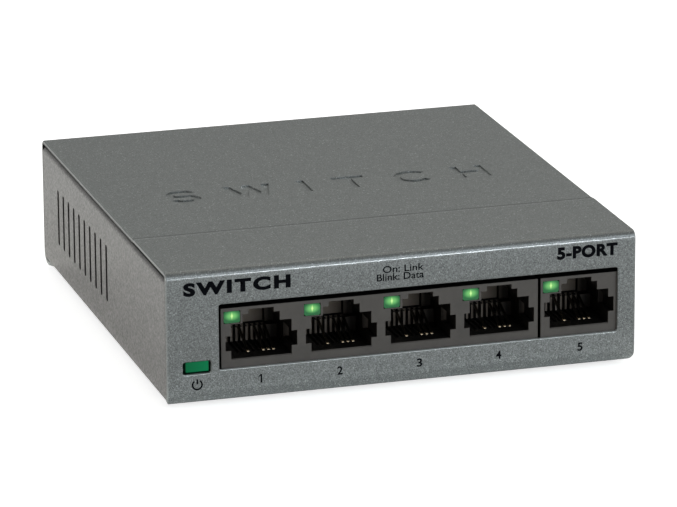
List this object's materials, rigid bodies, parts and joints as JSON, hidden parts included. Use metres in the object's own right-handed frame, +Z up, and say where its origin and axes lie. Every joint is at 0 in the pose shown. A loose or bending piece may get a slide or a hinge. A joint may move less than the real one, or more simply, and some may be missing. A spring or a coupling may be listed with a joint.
{
  "type": "desktop network switch",
  "caption": "Small desktop network switch in a folded grey steel case, with a row of lit RJ45 sockets in front, side vents, rubber feet and a DC power jack behind.",
  "frame": {"origin": "centre of the footprint, on the plane the rubber feet rest on", "axes": "+Z up, -Y out of the port side, +X to the right seen from the port side"},
  "size_m": [0.094, 0.101, 0.0273],
  "materials": {
    "cover_paint": "fine-textured grey powder coat with a metallic sparkle",
    "tray_paint": "fine-textured warm grey powder coat",
    "screw_steel": "bright zinc plate",
    "foot_rubber": "matt black",
    "label_film": "pale blank label film",
    "standoff_steel": "plain plated",
    "board_green": "green solder mask",
    "jack_plastic": "dark grey moulded",
    "contact_metal": "gold plated spring wire",
    "tinned_metal": "bright tin plate",
    "port_light_green": "tinted epoxy, lit green",
    "pipe_green": "tinted clear acrylic, lit green",
    "led_white": "white package",
    "dc_plastic": "black moulded",
    "chip_black": "black moulded package",
    "pad_grey": "soft grey",
    "sink_black": "black anodised",
    "can_metal": "bright can",
    "ferrite_grey": "dark grey ferrite",
    "ceramic_tan": "tan fired body"
  },
  "bodies": {
    "case": {"top_cover": "cover_paint", "base_tray": "tray_paint", "case_screws": "screw_steel", "rubber_feet": "foot_rubber", "bottom_label": "label_film", "board_standoffs": "standoff_steel", "board_screws": "screw_steel", "circuit_board": "board_green", "port_block_housing": "jack_plastic", "port_5_housing": "jack_plastic", "led_leads": "tinned_metal", "power_light_pipe": "pipe_green", "power_led_chip": "led_white", "dc_jack_housing": "dc_plastic", "dc_jack_pin": "tinned_metal", "dc_jack_terminal": "tinned_metal", "switch_chip": "chip_black", "thermal_pad": "pad_grey", "heat_sink": "sink_black", "lan_transformers": "chip_black", "memory_chip": "chip_black", "regulator_chips": "chip_black", "crystal": "can_metal", "electrolytic_capacitors": "can_metal", "power_inductors": "ferrite_grey", "ceramic_capacitors": "ceramic_tan", "chip_resistors": "chip_black", "port_1_contact_tails": "contact_metal", "port_1_led": "port_light_green", "port_2_contact_tails": "contact_metal", "port_2_led": "port_light_green", "port_3_contact_tails": "contact_metal", "port_3_led": "port_light_green", "port_4_contact_tails": "contact_metal", "port_4_led": "port_light_green", "port_5_contact_tails": "contact_metal", "port_5_led": "port_light_green"},
    "port_1_contact_set": {"port_1_contacts": "contact_metal"},
    "port_2_contact_set": {"port_2_contacts": "contact_metal"},
    "port_3_contact_set": {"port_3_contacts": "contact_metal"},
    "port_4_contact_set": {"port_4_contacts": "contact_metal"},
    "port_5_contact_set": {"port_5_contacts": "contact_metal"},
    "dc_contact_leaf": {"dc_jack_spring": "tinned_metal"}
  },
  "joints": [
    {"name": "port_1_contact_flex", "type": "hinge", "parent": "case", "child": "port_1_contact_set", "pos_m": [-0.02815, -0.0455, 0.00893], "axis": [-1, 0, 0], "range_deg": [0, 10], "stiffness_Nm_per_rad": 0.0001, "springref_deg": -2.86},
    {"name": "port_2_contact_flex", "type": "hinge", "parent": "case", "child": "port_2_contact_set", "pos_m": [-0.01227, -0.0455, 0.00893], "axis": [-1, 0, 0], "range_deg": [0, 10], "stiffness_Nm_per_rad": 0.0001, "springref_deg": -2.86},
    {"name": "port_3_contact_flex", "type": "hinge", "parent": "case", "child": "port_3_contact_set", "pos_m": [0.0036, -0.0455, 0.00893], "axis": [-1, 0, 0], "range_deg": [0, 10], "stiffness_Nm_per_rad": 0.0001, "springref_deg": -2.86},
    {"name": "port_4_contact_flex", "type": "hinge", "parent": "case", "child": "port_4_contact_set", "pos_m": [0.01947, -0.0455, 0.00893], "axis": [-1, 0, 0], "range_deg": [0, 10], "stiffness_Nm_per_rad": 0.0001, "springref_deg": -2.86},
    {"name": "port_5_contact_flex", "type": "hinge", "parent": "case", "child": "port_5_contact_set", "pos_m": [0.03575, -0.0455, 0.00893], "axis": [-1, 0, 0], "range_deg": [0, 10], "stiffness_Nm_per_rad": 0.0001, "springref_deg": -2.86},
    {"name": "dc_leaf_flex", "type": "hinge", "parent": "case", "child": "dc_contact_leaf", "pos_m": [0.024, 0.0386, 0.00895], "axis": [-1, 0, 0], "range_deg": [0, 5], "stiffness_Nm_per_rad": 0.0002, "springref_deg": -2.86}
  ]
}
